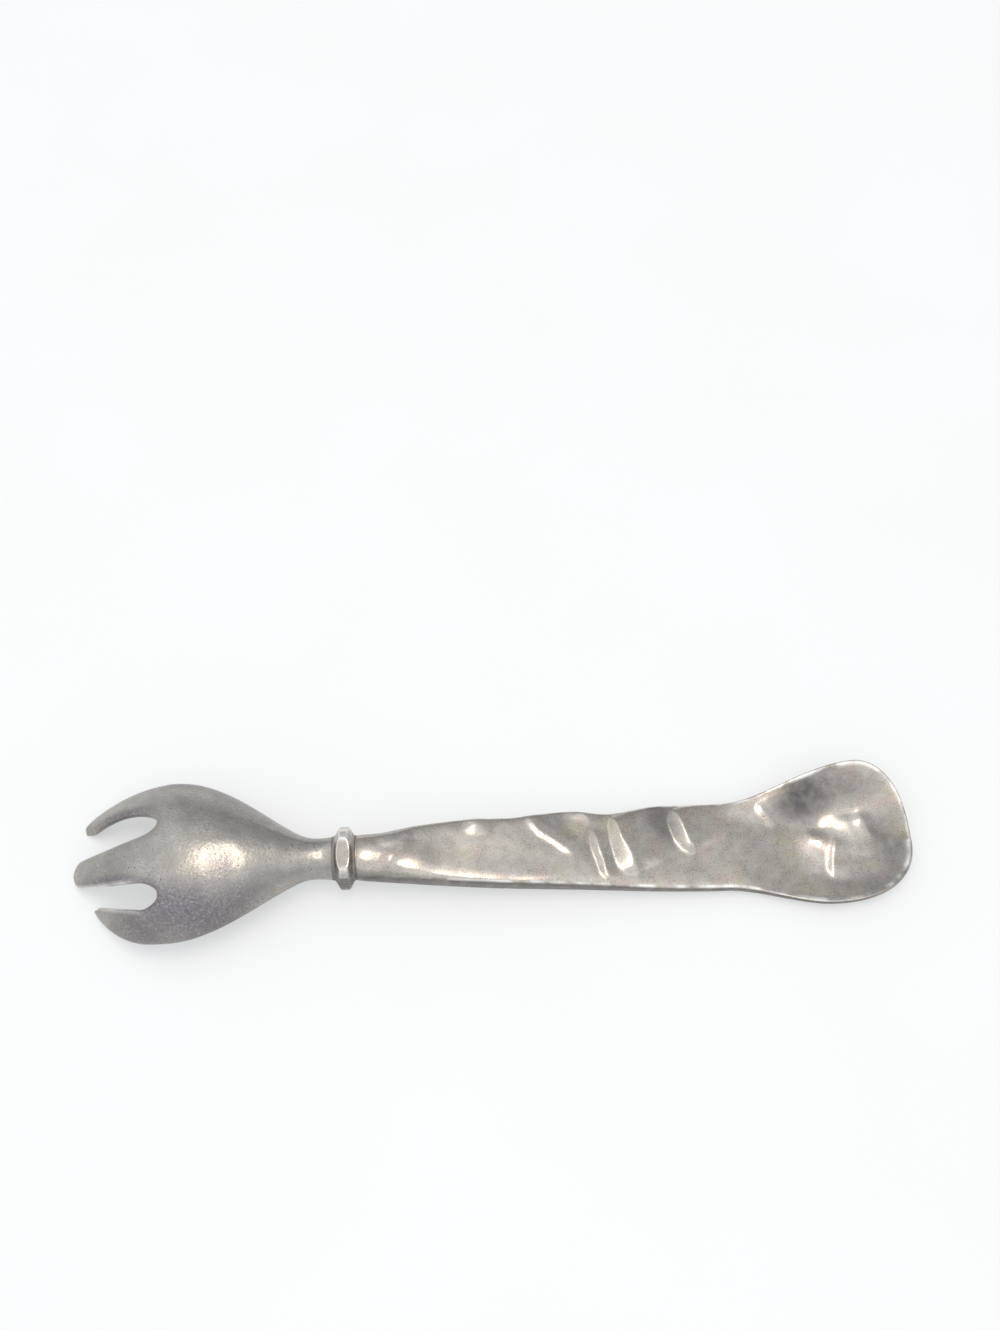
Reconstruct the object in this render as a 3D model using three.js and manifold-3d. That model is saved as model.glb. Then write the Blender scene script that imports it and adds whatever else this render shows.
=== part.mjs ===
// Salad serving fork, lying on a table with the back of its head up.
// The cast head is a shallow dome cut into three tines. Its round neck ends in a tang, which passes
// through a ring collar and is soldered into a blind socket in the hand-beaten handle.
// Units are millimetres, +Z is up, +X runs from the tines to the dish of the handle, +Y to the back.
import * as THREE from "three";
import { mergeVertices } from "three/addons/utils/BufferGeometryUtils.js";
import Module from "manifold-3d";

// Joint of head, collar and handle
const FIT_GAP = 0.3; // between faces that meet
const TANG_DIAMETER = 5.2;
const TANG_IN_HANDLE = 18;
const SOLDER_WALL = 0.5;
const AXIS_HEIGHT = 9.8; // of the tang above the table
const AXIS_SIDE = -1.2; // place of the tang across the part: a little to the front of the middle line

// Collar: a round bead with flats filed round it by hand. turn is in degrees from the top to the front,
// and reach is from the axis to the crest of the bead on that flat.
const COLLAR_DIAMETER = 19.8; // over the crest of its bead
const COLLAR_END_DIAMETER = 13.8; // at its two faces
const COLLAR_FULLNESS = 0.7; // of the bead: 1 is a plain arch, and less is fuller
const COLLAR_LENGTH = 6.8;
const TOP_FLAT_REACH = 8.2;
const FRONT_FLAT_REACH = 8.6;
const UNDER_FLAT_REACH = 8.6;
const BACK_FLAT_REACH = 9.3;
const COLLAR_FLATS = [
  { turn: 13, reach: TOP_FLAT_REACH },
  { turn: 85, reach: FRONT_FLAT_REACH },
  { turn: 165, reach: UNDER_FLAT_REACH },
  { turn: 237, reach: UNDER_FLAT_REACH },
  { turn: 301, reach: BACK_FLAT_REACH },
];

// Head: distances run from the collar towards the tines
const NECK_DIAMETER = 12.8;
const NECK_FLARE = 0.5; // added to the radius where the neck meets the collar
const NECK_FLARE_LENGTH = 3.5;
const NECK_RISE_AT = 4.5; // where the crest line starts to climb
const NECK_HOLLOW = 0.15; // share of the climb that the hollow curve behind the dome takes
const NECK_LENGTH = 7.7; // where the sides start to spread
const BOWL_HEIGHT = 24.3; // from the table to the crest of the dome
const BOWL_CREST_AT = 46.5;
const BOWL_WIDTH = 53.6;
const BOWL_WIDEST_AT = 50.7;
const BOWL_RIM_HEIGHT = 10.2; // top of the rim where the bowl is widest
const BOWL_EDGE_ANGLE = 40; // degrees that the dome slopes at its rim
const BOWL_WALL = 3.7;
const RIM_WALL = 2.9;

// Tines and the two slots between them. Sides and edges are distances from the middle line.
const TINE_ROOT_AT = 56.7; // where the tines part
const FRONT_SLOT_ROUND = 4.5; // depth of the round end of a slot
const BACK_SLOT_ROUND = 3.1;
const TINE_TIP_WALL = 2.8;
const TINE_TIP_ROUND = 2.6;
const MIDDLE_TINE_AT = 82.7; // tip of the middle tine
const MIDDLE_TINE_BACK = 4.8; // its two edges at the root of the tines
const MIDDLE_TINE_FRONT = -10.6;
const MIDDLE_TINE_WAIST = 1.4; // how far its back edge is drawn in halfway along
const MIDDLE_TINE_TIP_SIDE = -0.35;
const MIDDLE_TINE_TIP_WIDTH = 8.7;
const BACK_TINE_AT = 79.1; // tip of the long outer tine
const BACK_TINE_SLOT_EDGE = 12.4; // its inner edge at the root of the tines
const BACK_TINE_TIP_SIDE = 17.6; // outer edge of its tip
const BACK_TINE_TIP_WIDTH = 5;
const BACK_TINE_CURVE = 2; // of its outer edge: larger turns in later
const BACK_TINE_SLIMMING = 1.1; // 1 is an even taper, and larger is slim sooner
const BACK_TINE_SKEW = 2.9; // how much further its outer edge reaches than its inner one
const FRONT_TINE_AT = 74.7; // tip of the short outer tine
const FRONT_TINE_SLOT_EDGE = 17.4;
const FRONT_TINE_TIP_SIDE = 12.8;
const FRONT_TINE_TIP_WIDTH = 1.6;
const FRONT_TINE_CURVE = 2.4;
const FRONT_TINE_SLIMMING = 0.95;

// Handle: distances run from the collar towards the dish
const HANDLE_LENGTH = 177;
const MOUTH_WIDTH = 14.6; // where the handle meets the collar
const MOUTH_THICKNESS = 13;
const GRIP_WIDTH = 29.4;
const GRIP_WIDE_AT = 115; // where the sides stop spreading
const FLAT_AT = 45; // from here the handle is a flat bar
const FLAT_THICKNESS = 5.2;
const MOUTH_SQUARENESS = 2.1; // of the section: 2 is an ellipse, and larger is more like a rectangle
const FLAT_SQUARENESS = 7;
const BAR_ARCH = 2.9; // how far the top of the bar arches up

// Dish at the end of the handle
const DISH_FROM = 116; // where the sides start to flare
const DISH_WALL = 3.4;
const DISH_FOOT = 0.4; // ground off underneath, so that the dish sits flat
const DISH_MIDDLE_AT = 150;
const DISH_BACK_SIDE = 25.2; // from the middle line to the back rim
const DISH_BACK_WIDEST_AT = 161;
const DISH_BACK_SQUARENESS = 2;
const DISH_FRONT_SIDE = 20.8;
const DISH_FRONT_WIDEST_AT = 149;
const DISH_FRONT_SQUARENESS = 2.2;
const DISH_END_ROUND = 1.6;

// What was worked into the handle by hand. at is the distance from the collar, side is the distance to
// the back of the middle line, and turn is in degrees.
// Folds turn up the rim of the dish: each rises by rise per millimetre, with a round bend.
const DISH_FOLDS = [
  { at: 152, side: 6, turn: 76, rise: 0.36, rounding: 0.3 },
  { at: 158, side: 0, turn: 0, rise: 0.06, rounding: 0.3 },
  { at: 150, side: -12, turn: -90, rise: 0.25, rounding: 0.5 },
];
// Hollows are pressed in. before and behind are their lengths on both sides of the deepest line.
const HOLLOWS = [
  { at: 42, side: 3, before: 30, behind: 26.5, wide: 13.5, deep: 0.8, turn: 0, flatness: 8 },
  { at: 64, side: 10.5, before: 6, behind: 6, wide: 10, deep: 1.4, turn: 50, flatness: 2 },
  { at: 35, side: 8, before: 5, behind: 6, wide: 6, deep: 1.5, turn: 20, flatness: 2 },
  { at: 156, side: 8, before: 5, behind: 5, wide: 5, deep: 0.5, turn: 0, flatness: 2 },
];
// Ridges are pushed up by the thumb, with a steep side and a long one
const RIDGES = [
  { at: 12.3, side: -2, steep: 2, long: 4, wide: 7, high: 0.45, turn: -41 },
  { at: 64.5, side: 1.5, steep: 2, long: 7, wide: 6, high: 0.4, turn: 52 },
  { at: 78.6, side: -3.5, steep: 1.8, long: 7, wide: 10, high: 0.62, turn: 17 },
  { at: 86.5, side: 2, steep: 4.8, long: 16, wide: 11, high: 1.8, turn: 24 },
  { at: 104.5, side: 7.5, steep: 4.3, long: 18, wide: 9, high: 1.7, turn: 24 },
  { at: 153.5, side: -5.5, steep: 3, long: 20, wide: 8.5, high: 1.1, turn: -4 },
];
const RIDGE_ROUNDING = 0.08;
const EDGE_DENTS = [
  { toward: 1, at: 8, long: 7, deep: 0.8 },
  { toward: 1, at: 50, long: 11, deep: 1.1 },
  { toward: 1, at: 80, long: 10, deep: 2.4 },
  { toward: 1, at: 112, long: 26, deep: 0.7 },
  { toward: -1, at: 70, long: 22, deep: 0.5 },
];

// Places that several pieces share
const seat = COLLAR_LENGTH / 2 + FIT_GAP; // from the middle of the collar to the neck and the handle
const solderInner = TANG_DIAMETER / 2 + FIT_GAP;
const solderOuter = solderInner + SOLDER_WALL;
const socketRadius = solderOuter + FIT_GAP;
const socketDepth = TANG_IN_HANDLE + FIT_GAP;

const { lerp, clamp, smoothstep, degToRad } = THREE.MathUtils;
const share = (place, from, to) => clamp((place - from) / (to - from), 0, 1);

// A surface made of rows of points. A row holds an upper line, from front to back, and an under line.
class Skin {
  constructor() {
    this.places = [];
    this.corners = [];
  }

  row(upper, under) {
    const keep = (point) => this.places.push(...point) / 3 - 1;
    return { upper: upper.map(keep), under: under.map(keep) };
  }

  quad(a, b, c, d) {
    this.corners.push(a, b, c, a, c, d);
  }

  // The skin around the pieces from one row to the next one towards -X
  band(row, next) {
    const loop = (r) => [...r.upper, ...r.under.toReversed()];
    const a = loop(row);
    const b = loop(next);
    a.forEach((corner, k) => {
      const after = (k + 1) % a.length;
      this.quad(corner, a[after], b[after], b[k]);
    });
  }

  // A face that closes a row towards -X, or towards +X
  wall(row, facing) {
    const { upper, under } = row;
    for (let k = 0; k + 1 < upper.length; k++) {
      if (facing < 0) this.quad(upper[k], upper[k + 1], under[k + 1], under[k]);
      else this.quad(upper[k], under[k], under[k + 1], upper[k + 1]);
    }
  }

  geometry() {
    const made = new THREE.BufferGeometry();
    made.setAttribute("position", new THREE.Float32BufferAttribute(this.places, 3));
    made.setIndex(this.corners);
    made.computeVertexNormals();
    return made;
  }
}

const part = (row, from, to) => ({
  upper: row.upper.slice(from, to + 1),
  under: row.under.slice(from, to + 1),
});

// Steps from one value to another, both ends included
const steps = (from, to, count) => Array.from({ length: count + 1 }, (_, k) => lerp(from, to, k / count));

// Head
const ROUND_EDGE_ANGLE = 80; // the upper half of a round section stops this far from its crown

const neckRadius = (s) => NECK_DIAMETER / 2 + NECK_FLARE * (1 - share(s, 0, NECK_FLARE_LENGTH)) ** 2;

const backSide = {
  toward: 1,
  slotEdge: BACK_TINE_SLOT_EDGE,
  curve: BACK_TINE_CURVE,
  tipAt: BACK_TINE_AT,
  tipSide: BACK_TINE_TIP_SIDE,
  tipWidth: BACK_TINE_TIP_WIDTH,
  slimming: BACK_TINE_SLIMMING,
};
const frontSide = {
  toward: -1,
  slotEdge: FRONT_TINE_SLOT_EDGE,
  curve: FRONT_TINE_CURVE,
  tipAt: FRONT_TINE_AT,
  tipSide: FRONT_TINE_TIP_SIDE,
  tipWidth: FRONT_TINE_TIP_WIDTH,
  slimming: FRONT_TINE_SLIMMING,
};

function crestHeight(s) {
  const neckTop = AXIS_HEIGHT + neckRadius(s);
  const along = share(s, NECK_RISE_AT, BOWL_CREST_AT);
  const climb = ((1 + NECK_HOLLOW) * along ** 2) / (along + NECK_HOLLOW);
  if (s < BOWL_CREST_AT) return lerp(neckTop, BOWL_HEIGHT, 1 - (1 - climb) ** 2);
  return lerp(BOWL_HEIGHT, TINE_TIP_WALL, share(s, BOWL_CREST_AT, MIDDLE_TINE_AT) ** 2);
}

function headSide(s, { tipAt, tipSide, curve }) {
  const neckSide = neckRadius(s) * Math.sin(degToRad(ROUND_EDGE_ANGLE));
  const spread = Math.sin((Math.PI / 2) * share(s, NECK_LENGTH, BOWL_WIDEST_AT)) ** 1.25;
  if (s < BOWL_WIDEST_AT) return lerp(neckSide, BOWL_WIDTH / 2, spread);
  return lerp(BOWL_WIDTH / 2, tipSide, share(s, BOWL_WIDEST_AT, tipAt) ** curve);
}

function rimHeight(s, { tipAt }) {
  const neckRim = AXIS_HEIGHT + neckRadius(s) * Math.cos(degToRad(ROUND_EDGE_ANGLE));
  if (s < BOWL_WIDEST_AT) return lerp(neckRim, BOWL_RIM_HEIGHT, smoothstep(s, NECK_LENGTH, BOWL_WIDEST_AT));
  return lerp(BOWL_RIM_HEIGHT, TINE_TIP_WALL, share(s, BOWL_WIDEST_AT, tipAt) ** 1.6);
}

// The wall at the middle line and at the rim: the neck is solid and the bowl is a shell
function headWall(s) {
  const shell = smoothstep(s, NECK_LENGTH, BOWL_CREST_AT);
  const thin = lerp(BOWL_WALL, TINE_TIP_WALL, share(s, BOWL_CREST_AT, MIDDLE_TINE_AT));
  return {
    shell,
    middle: lerp(2 * neckRadius(s), thin, shell),
    rim: lerp(2 * neckRadius(s) * Math.cos(degToRad(ROUND_EDGE_ANGLE)), RIM_WALL, shell),
  };
}

// The two points of the head at a distance s and a place y across: on its upper and its under face
function headPoints(s, y) {
  const side = y < 0 ? frontSide : backSide;
  const width = headSide(s, side);
  const wall = headWall(s);
  const edge = degToRad(lerp(ROUND_EDGE_ANGLE, BOWL_EDGE_ANGLE, wall.shell));
  const across = clamp(y / width, -1, 1);
  const arc = Math.asin(across * Math.sin(edge));
  const fall = (1 - Math.cos(arc)) / (1 - Math.cos(edge));
  const crest = crestHeight(s);
  const rim = rimHeight(s, side);
  const inset = wall.shell * wall.rim * Math.sin(edge);
  const x = -(seat + s);
  const shift = AXIS_SIDE * (1 - smoothstep(s, 0, BOWL_CREST_AT));
  const underHeight = lerp(crest - wall.middle, rim - wall.rim, fall);
  return {
    upper: [x, y + shift, lerp(crest, rim, fall)],
    under: [x, y * (1 - inset / width) + shift, Math.max(0, underHeight)],
  };
}

const TINE_COLUMNS = 4;
const SLOT_COLUMNS = 5;
const MIDDLE_COLUMNS = 6;

// Places across the root of the tines, from front to back: tine, slot, tine, slot, tine
function rootPlaces() {
  return [
    ...steps(-headSide(TINE_ROOT_AT, frontSide), -FRONT_TINE_SLOT_EDGE, TINE_COLUMNS),
    ...steps(-FRONT_TINE_SLOT_EDGE, MIDDLE_TINE_FRONT, SLOT_COLUMNS).slice(1),
    ...steps(MIDDLE_TINE_FRONT, MIDDLE_TINE_BACK, MIDDLE_COLUMNS).slice(1),
    ...steps(MIDDLE_TINE_BACK, BACK_TINE_SLOT_EDGE, SLOT_COLUMNS).slice(1),
    ...steps(BACK_TINE_SLOT_EDGE, headSide(TINE_ROOT_AT, backSide), TINE_COLUMNS).slice(1),
  ];
}

// How deep the round end of a slot reaches at a place across
function slotDepth(y) {
  const low = y < 0 ? -FRONT_TINE_SLOT_EDGE : MIDDLE_TINE_BACK;
  const high = y < 0 ? MIDDLE_TINE_FRONT : BACK_TINE_SLOT_EDGE;
  const off = (2 * y - low - high) / (high - low);
  const deep = y < 0 ? FRONT_SLOT_ROUND : BACK_SLOT_ROUND;
  return Math.abs(off) < 1 ? deep * Math.sqrt(1 - off ** 2) : 0;
}

// The two edges of each tine at a distance s
function middleTineEdges(s) {
  const towardTip = share(s, TINE_ROOT_AT, MIDDLE_TINE_AT);
  const drawnIn = MIDDLE_TINE_WAIST * 4 * towardTip * (1 - towardTip);
  return [
    lerp(MIDDLE_TINE_FRONT, MIDDLE_TINE_TIP_SIDE - MIDDLE_TINE_TIP_WIDTH / 2, towardTip),
    lerp(MIDDLE_TINE_BACK, MIDDLE_TINE_TIP_SIDE + MIDDLE_TINE_TIP_WIDTH / 2, towardTip) - drawnIn,
  ];
}

function outerTineEdges(s, side) {
  const rootWidth = headSide(TINE_ROOT_AT, side) - side.slotEdge;
  const slim = 1 - (1 - share(s, TINE_ROOT_AT, side.tipAt)) ** side.slimming;
  const outer = headSide(s, side);
  const inner = outer - lerp(rootWidth, side.tipWidth, slim);
  return side.toward < 0 ? [-outer, -inner] : [inner, outer];
}

// Grows a tine from its row of root points to its rounded tip
function addTine(skin, root, columns, tipAt, edges, skew = 0) {
  const rows = steps(TINE_ROOT_AT, tipAt - TINE_TIP_ROUND, 8).slice(1).map((s) => ({ s, narrow: 1 }));
  for (const turn of [25, 45, 62, 76, 86].map(degToRad)) {
    rows.push({ s: tipAt - TINE_TIP_ROUND * (1 - Math.sin(turn)), narrow: Math.cos(turn) });
  }
  let last = root;
  for (const { s, narrow } of rows) {
    const [low, high] = edges(s);
    const middle = (low + high) / 2;
    const places = steps(low, high, columns).map((y, k) => {
      const lean = skew * (k / columns - 0.5) * share(s, TINE_ROOT_AT, tipAt);
      return headPoints(s + lean, lerp(middle, y, narrow));
    });
    const next = skin.row(places.map((p) => p.upper), places.map((p) => p.under));
    skin.band(last, next);
    last = next;
  }
  skin.wall(last, -1);
}

function headGeometry() {
  const skin = new Skin();
  const root = rootPlaces();
  const rootShares = root.map((y) => y / headSide(TINE_ROOT_AT, y < 0 ? frontSide : backSide));

  // Tang, from its end inside the handle to the neck
  const round = (x, radius) => {
    const reach = Math.sin(degToRad(ROUND_EDGE_ANGLE));
    const y = rootShares.map((across) => across * reach * radius);
    const z = y.map((v) => Math.sqrt(radius ** 2 - v ** 2));
    return skin.row(
      y.map((v, k) => [x, AXIS_SIDE + v, AXIS_HEIGHT + z[k]]),
      y.map((v, k) => [x, AXIS_SIDE + v, AXIS_HEIGHT - z[k]]),
    );
  };
  const tangEnd = round(seat + TANG_IN_HANDLE, TANG_DIAMETER / 2);
  const tangSeat = round(-seat, TANG_DIAMETER / 2);
  skin.wall(tangEnd, 1);
  skin.band(tangEnd, tangSeat);

  // Neck and bowl, with the last rows bent around the slots
  const BEND_FROM = lerp(NECK_LENGTH, TINE_ROOT_AT, 0.6);
  const neckRows = steps(0, NECK_LENGTH, 5);
  const bowlRows = steps(NECK_LENGTH, TINE_ROOT_AT, 20).slice(1);
  let last = tangSeat;
  for (const s of [...neckRows, ...bowlRows]) {
    const places = root.map((y, k) => {
      const place = s - slotDepth(y) * share(s, BEND_FROM, TINE_ROOT_AT);
      return headPoints(place, rootShares[k] * headSide(place, y < 0 ? frontSide : backSide));
    });
    const next = skin.row(places.map((p) => p.upper), places.map((p) => p.under));
    skin.band(last, next);
    last = next;
  }

  // Ends of the slots, then the tines
  const cuts = [0];
  for (const columns of [TINE_COLUMNS, SLOT_COLUMNS, MIDDLE_COLUMNS, SLOT_COLUMNS, TINE_COLUMNS]) {
    cuts.push(cuts.at(-1) + columns);
  }
  skin.wall(part(last, cuts[1], cuts[2]), -1);
  skin.wall(part(last, cuts[3], cuts[4]), -1);
  const frontEdges = (s) => outerTineEdges(s, frontSide);
  const backEdges = (s) => outerTineEdges(s, backSide);
  addTine(skin, part(last, cuts[0], cuts[1]), TINE_COLUMNS, FRONT_TINE_AT, frontEdges);
  addTine(skin, part(last, cuts[2], cuts[3]), MIDDLE_COLUMNS, MIDDLE_TINE_AT, middleTineEdges);
  addTine(skin, part(last, cuts[4], cuts[5]), TINE_COLUMNS, BACK_TINE_AT, backEdges, BACK_TINE_SKEW);
  return skin.geometry();
}

// Handle
const dishBack = {
  toward: 1,
  side: DISH_BACK_SIDE,
  widestAt: DISH_BACK_WIDEST_AT,
  squareness: DISH_BACK_SQUARENESS,
};
const dishFront = {
  toward: -1,
  side: DISH_FRONT_SIDE,
  widestAt: DISH_FRONT_WIDEST_AT,
  squareness: DISH_FRONT_SQUARENESS,
};

// Half width of the handle towards its back or its front edge
function handleSide(s, { toward, side, widestAt, squareness }) {
  if (s > widestAt) {
    const beyond = share(s, widestAt, HANDLE_LENGTH);
    return side * (1 - beyond ** squareness) ** (1 / squareness);
  }
  const grip = lerp(MOUTH_WIDTH, GRIP_WIDTH, Math.sin((Math.PI / 2) * share(s, 0, GRIP_WIDE_AT))) / 2;
  const dented = EDGE_DENTS.filter((dent) => dent.toward === toward)
    .map(({ at, long, deep }) => deep * Math.exp(-(((s - at) / long) ** 2)))
    .reduce((sum, depth) => sum + depth, 0);
  return lerp(grip - dented, side, smoothstep(s, DISH_FROM, widestAt));
}

// Height of the middle of the bar, which runs straight from the collar down to the dish
const handleMiddle = (s) => lerp(AXIS_HEIGHT, DISH_WALL / 2 - DISH_FOOT, share(s, 0, DISH_MIDDLE_AT));

function handleThickness(s) {
  const bar = lerp(MOUTH_THICKNESS, FLAT_THICKNESS, 1 - (1 - share(s, 0, FLAT_AT)) ** 2);
  const plate = lerp(bar, DISH_WALL, smoothstep(s, DISH_FROM, DISH_MIDDLE_AT));
  const end = share(s, HANDLE_LENGTH - DISH_END_ROUND, HANDLE_LENGTH);
  return plate * Math.sqrt(1 - end ** 2 * 0.9);
}

// How far the top of the bar arches above its middle line, highest a third of the way to the dish
function barArch(s) {
  const curve = (along) => along * (1 - along) ** 2;
  return (BAR_ARCH * curve(share(s, 0, DISH_FROM))) / curve(1 / 3);
}

// The height itself where it is above zero, and next to nothing below, with a round bend between
const softTop = (height, rounding) => rounding * Math.log(1 + Math.exp(height / rounding));

// Where a place lies from a mark, along its turned direction and across it
function alongAcross(s, y, { at, side, turn }) {
  const cos = Math.cos(degToRad(turn));
  const sin = Math.sin(degToRad(turn));
  return [(s - at) * cos + (y - side) * sin, (y - side) * cos - (s - at) * sin];
}

// How far the folds lift the handle at a place
function dishFold(s, y) {
  return DISH_FOLDS.reduce((sum, fold) => {
    const [along] = alongAcross(s, y, fold);
    return sum + softTop(fold.rise * along, fold.rounding);
  }, 0);
}

// How deep the hollows reach at a place. Neighbouring hollows meet in a ridge.
function hollowDepth(s, y) {
  const total = HOLLOWS.reduce((sum, hollow) => {
    const [along, across] = alongAcross(s, y, hollow);
    const off = Math.hypot(along / (along < 0 ? hollow.before : hollow.behind), across / hollow.wide);
    return sum + Math.exp((hollow.deep * (1 - off ** hollow.flatness)) / RIDGE_ROUNDING);
  }, 1);
  return RIDGE_ROUNDING * Math.log(total);
}

function ridgeHeight(s, y) {
  return RIDGES.reduce((sum, ridge) => {
    const [along, across] = alongAcross(s, y, ridge);
    const slide = Math.abs(along) / (along < 0 ? ridge.steep : ridge.long);
    return sum + softTop(ridge.high * (1 - slide - (across / ridge.wide) ** 4), RIDGE_ROUNDING);
  }, 0);
}

function handleGeometry() {
  const skin = new Skin();
  const half = [0, 0.12, 0.24, 0.36, 0.48, 0.59, 0.69, 0.78, 0.86, 0.92, 0.965, 0.99];
  const columns = [...half.slice(1).toReversed().map((u) => -u), ...half];

  const round = (x, radius) =>
    skin.row(
      columns.map((u) => [x, AXIS_SIDE + radius * u, AXIS_HEIGHT + radius * Math.sqrt(1 - u ** 2)]),
      columns.map((u) => [x, AXIS_SIDE + radius * u, AXIS_HEIGHT - radius * Math.sqrt(1 - u ** 2)]),
    );

  const section = (s) => {
    const squareness = lerp(MOUTH_SQUARENESS, FLAT_SQUARENESS, smoothstep(s, 0, FLAT_AT));
    const halfThickness = handleThickness(s) / 2;
    const shift = AXIS_SIDE * (1 - smoothstep(s, 0, GRIP_WIDE_AT));
    const points = columns.map((u) => {
      const y = u * handleSide(s, u < 0 ? dishFront : dishBack);
      const bulge = (1 - Math.abs(u) ** squareness) ** (1 / squareness);
      const middle = handleMiddle(s) + dishFold(s, y);
      const worked = barArch(s) + ridgeHeight(s, y) - hollowDepth(s, y);
      return {
        upper: [seat + s, y + shift, middle + bulge * (halfThickness + worked)],
        under: [seat + s, y + shift, Math.max(0, middle - bulge * halfThickness)],
      };
    });
    return skin.row(points.map((p) => p.upper), points.map((p) => p.under));
  };

  // Rows go from the end of the dish to the mouth, then into the socket
  const endTurns = steps(88, 0, 13).map(degToRad);
  const endRows = endTurns.map((turn) => lerp(DISH_FRONT_WIDEST_AT, HANDLE_LENGTH, Math.sin(turn)));
  const barRows = steps(DISH_FRONT_WIDEST_AT, 0, 88).slice(1);
  const rows = [...endRows, ...barRows].map(section);
  rows.push(round(seat, socketRadius), round(seat + socketDepth, socketRadius));
  skin.wall(rows[0], 1);
  rows.slice(1).forEach((next, k) => skin.band(rows[k], next));
  skin.wall(rows.at(-1), -1);
  return skin.geometry();
}

// Turned pieces: a closed profile of [radius, place along the axis], turned about the X axis
function turned(profile, segments) {
  const points = [...profile, profile[0]].map(([radius, along]) => new THREE.Vector2(radius, along));
  return new THREE.LatheGeometry(points, segments).rotateZ(-Math.PI / 2);
}

const wasm = await Module();
wasm.setup();

function solid(geometry) {
  const bare = geometry.clone().deleteAttribute("normal").deleteAttribute("uv");
  const merged = mergeVertices(bare, 1e-4);
  const vertProperties = new Float32Array(merged.attributes.position.array);
  const triVerts = new Uint32Array(merged.index.array);
  return new wasm.Manifold(new wasm.Mesh({ numProp: 3, vertProperties, triVerts }));
}

function geometryOf(made) {
  const { vertProperties, triVerts } = made.getMesh();
  const geometry = new THREE.BufferGeometry();
  geometry.setAttribute("position", new THREE.BufferAttribute(vertProperties, 3));
  geometry.setIndex(new THREE.BufferAttribute(triVerts, 1));
  geometry.computeVertexNormals();
  return geometry;
}

// How far the crest of the collar's bead reaches from the axis, in a direction turned from the top
function filedReach(turn) {
  const facing = (flat) => Math.max(Math.cos(turn - degToRad(flat.turn)), 0.01);
  return Math.min(COLLAR_DIAMETER / 2, ...COLLAR_FLATS.map((flat) => flat.reach / facing(flat)));
}

// A bead with a bore for the tang. Each flat keeps the round profile of the bead.
function collarGeometry() {
  const bore = TANG_DIAMETER / 2 + FIT_GAP;
  const end = COLLAR_END_DIAMETER / 2;
  const crest = COLLAR_DIAMETER / 2;
  const bead = steps(-1, 1, 12).map((along) => [
    lerp(end, crest, Math.max(Math.cos((Math.PI / 2) * along), 0) ** COLLAR_FULLNESS),
    (along * COLLAR_LENGTH) / 2,
  ]);
  const ring = turned([[bore, -COLLAR_LENGTH / 2], ...bead, [bore, COLLAR_LENGTH / 2]], 60);
  const places = ring.attributes.position;
  for (let k = 0; k < places.count; k++) {
    const side = places.getY(k);
    const height = places.getZ(k);
    const radius = Math.hypot(side, height);
    const bulge = Math.max((radius - end) / (crest - end), 0);
    const filed = bulge > 0 ? lerp(end, filedReach(Math.atan2(-side, height)), bulge) / radius : 1;
    places.setY(k, side * filed);
    places.setZ(k, height * filed);
  }
  return geometryOf(solid(ring));
}

// The solder fills the socket round the tang
const solderGeometry = () =>
  turned(
    [
      [solderInner, 0],
      [solderOuter, 0],
      [solderOuter, TANG_IN_HANDLE],
      [solderInner, TANG_IN_HANDLE],
    ],
    32,
  );

function piece(name, geometry, color, roughness) {
  const material = new THREE.MeshStandardMaterial({ color, roughness, metalness: 1 });
  const mesh = new THREE.Mesh(geometry, material);
  mesh.name = name;
  return mesh;
}

const head = piece("fork_head", headGeometry(), 0x8f8c89, 0.48);
const collar = piece("collar", collarGeometry(), 0x9c968c, 0.32);
const handle = piece("handle", handleGeometry(), 0xa59f94, 0.3);
const solder = piece("tang_solder", solderGeometry(), 0x8a8a86, 0.55);
collar.position.set(0, AXIS_SIDE, AXIS_HEIGHT);
solder.position.set(seat, AXIS_SIDE, AXIS_HEIGHT);

// The origin lies on the table, under the middle of the part
const laid = new THREE.Group();
laid.add(head, collar, handle, solder);
const box = new THREE.Box3().setFromObject(laid, true);
const middle = box.getCenter(new THREE.Vector3());
laid.position.set(-middle.x, -middle.y, -box.min.z);

const fork = new THREE.Group();
fork.name = "salad_serving_fork";
fork.add(laid);

export default fork;
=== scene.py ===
# Salad serving fork, lying on a pale table with the back of its head up.
# Sizes are in millimetres, as on the drawing of the part, and go into the meshes in metres.
from math import asin, atan2, cos, exp, hypot, log, pi, radians, sin, sqrt

import bpy
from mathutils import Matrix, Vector, noise


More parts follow.
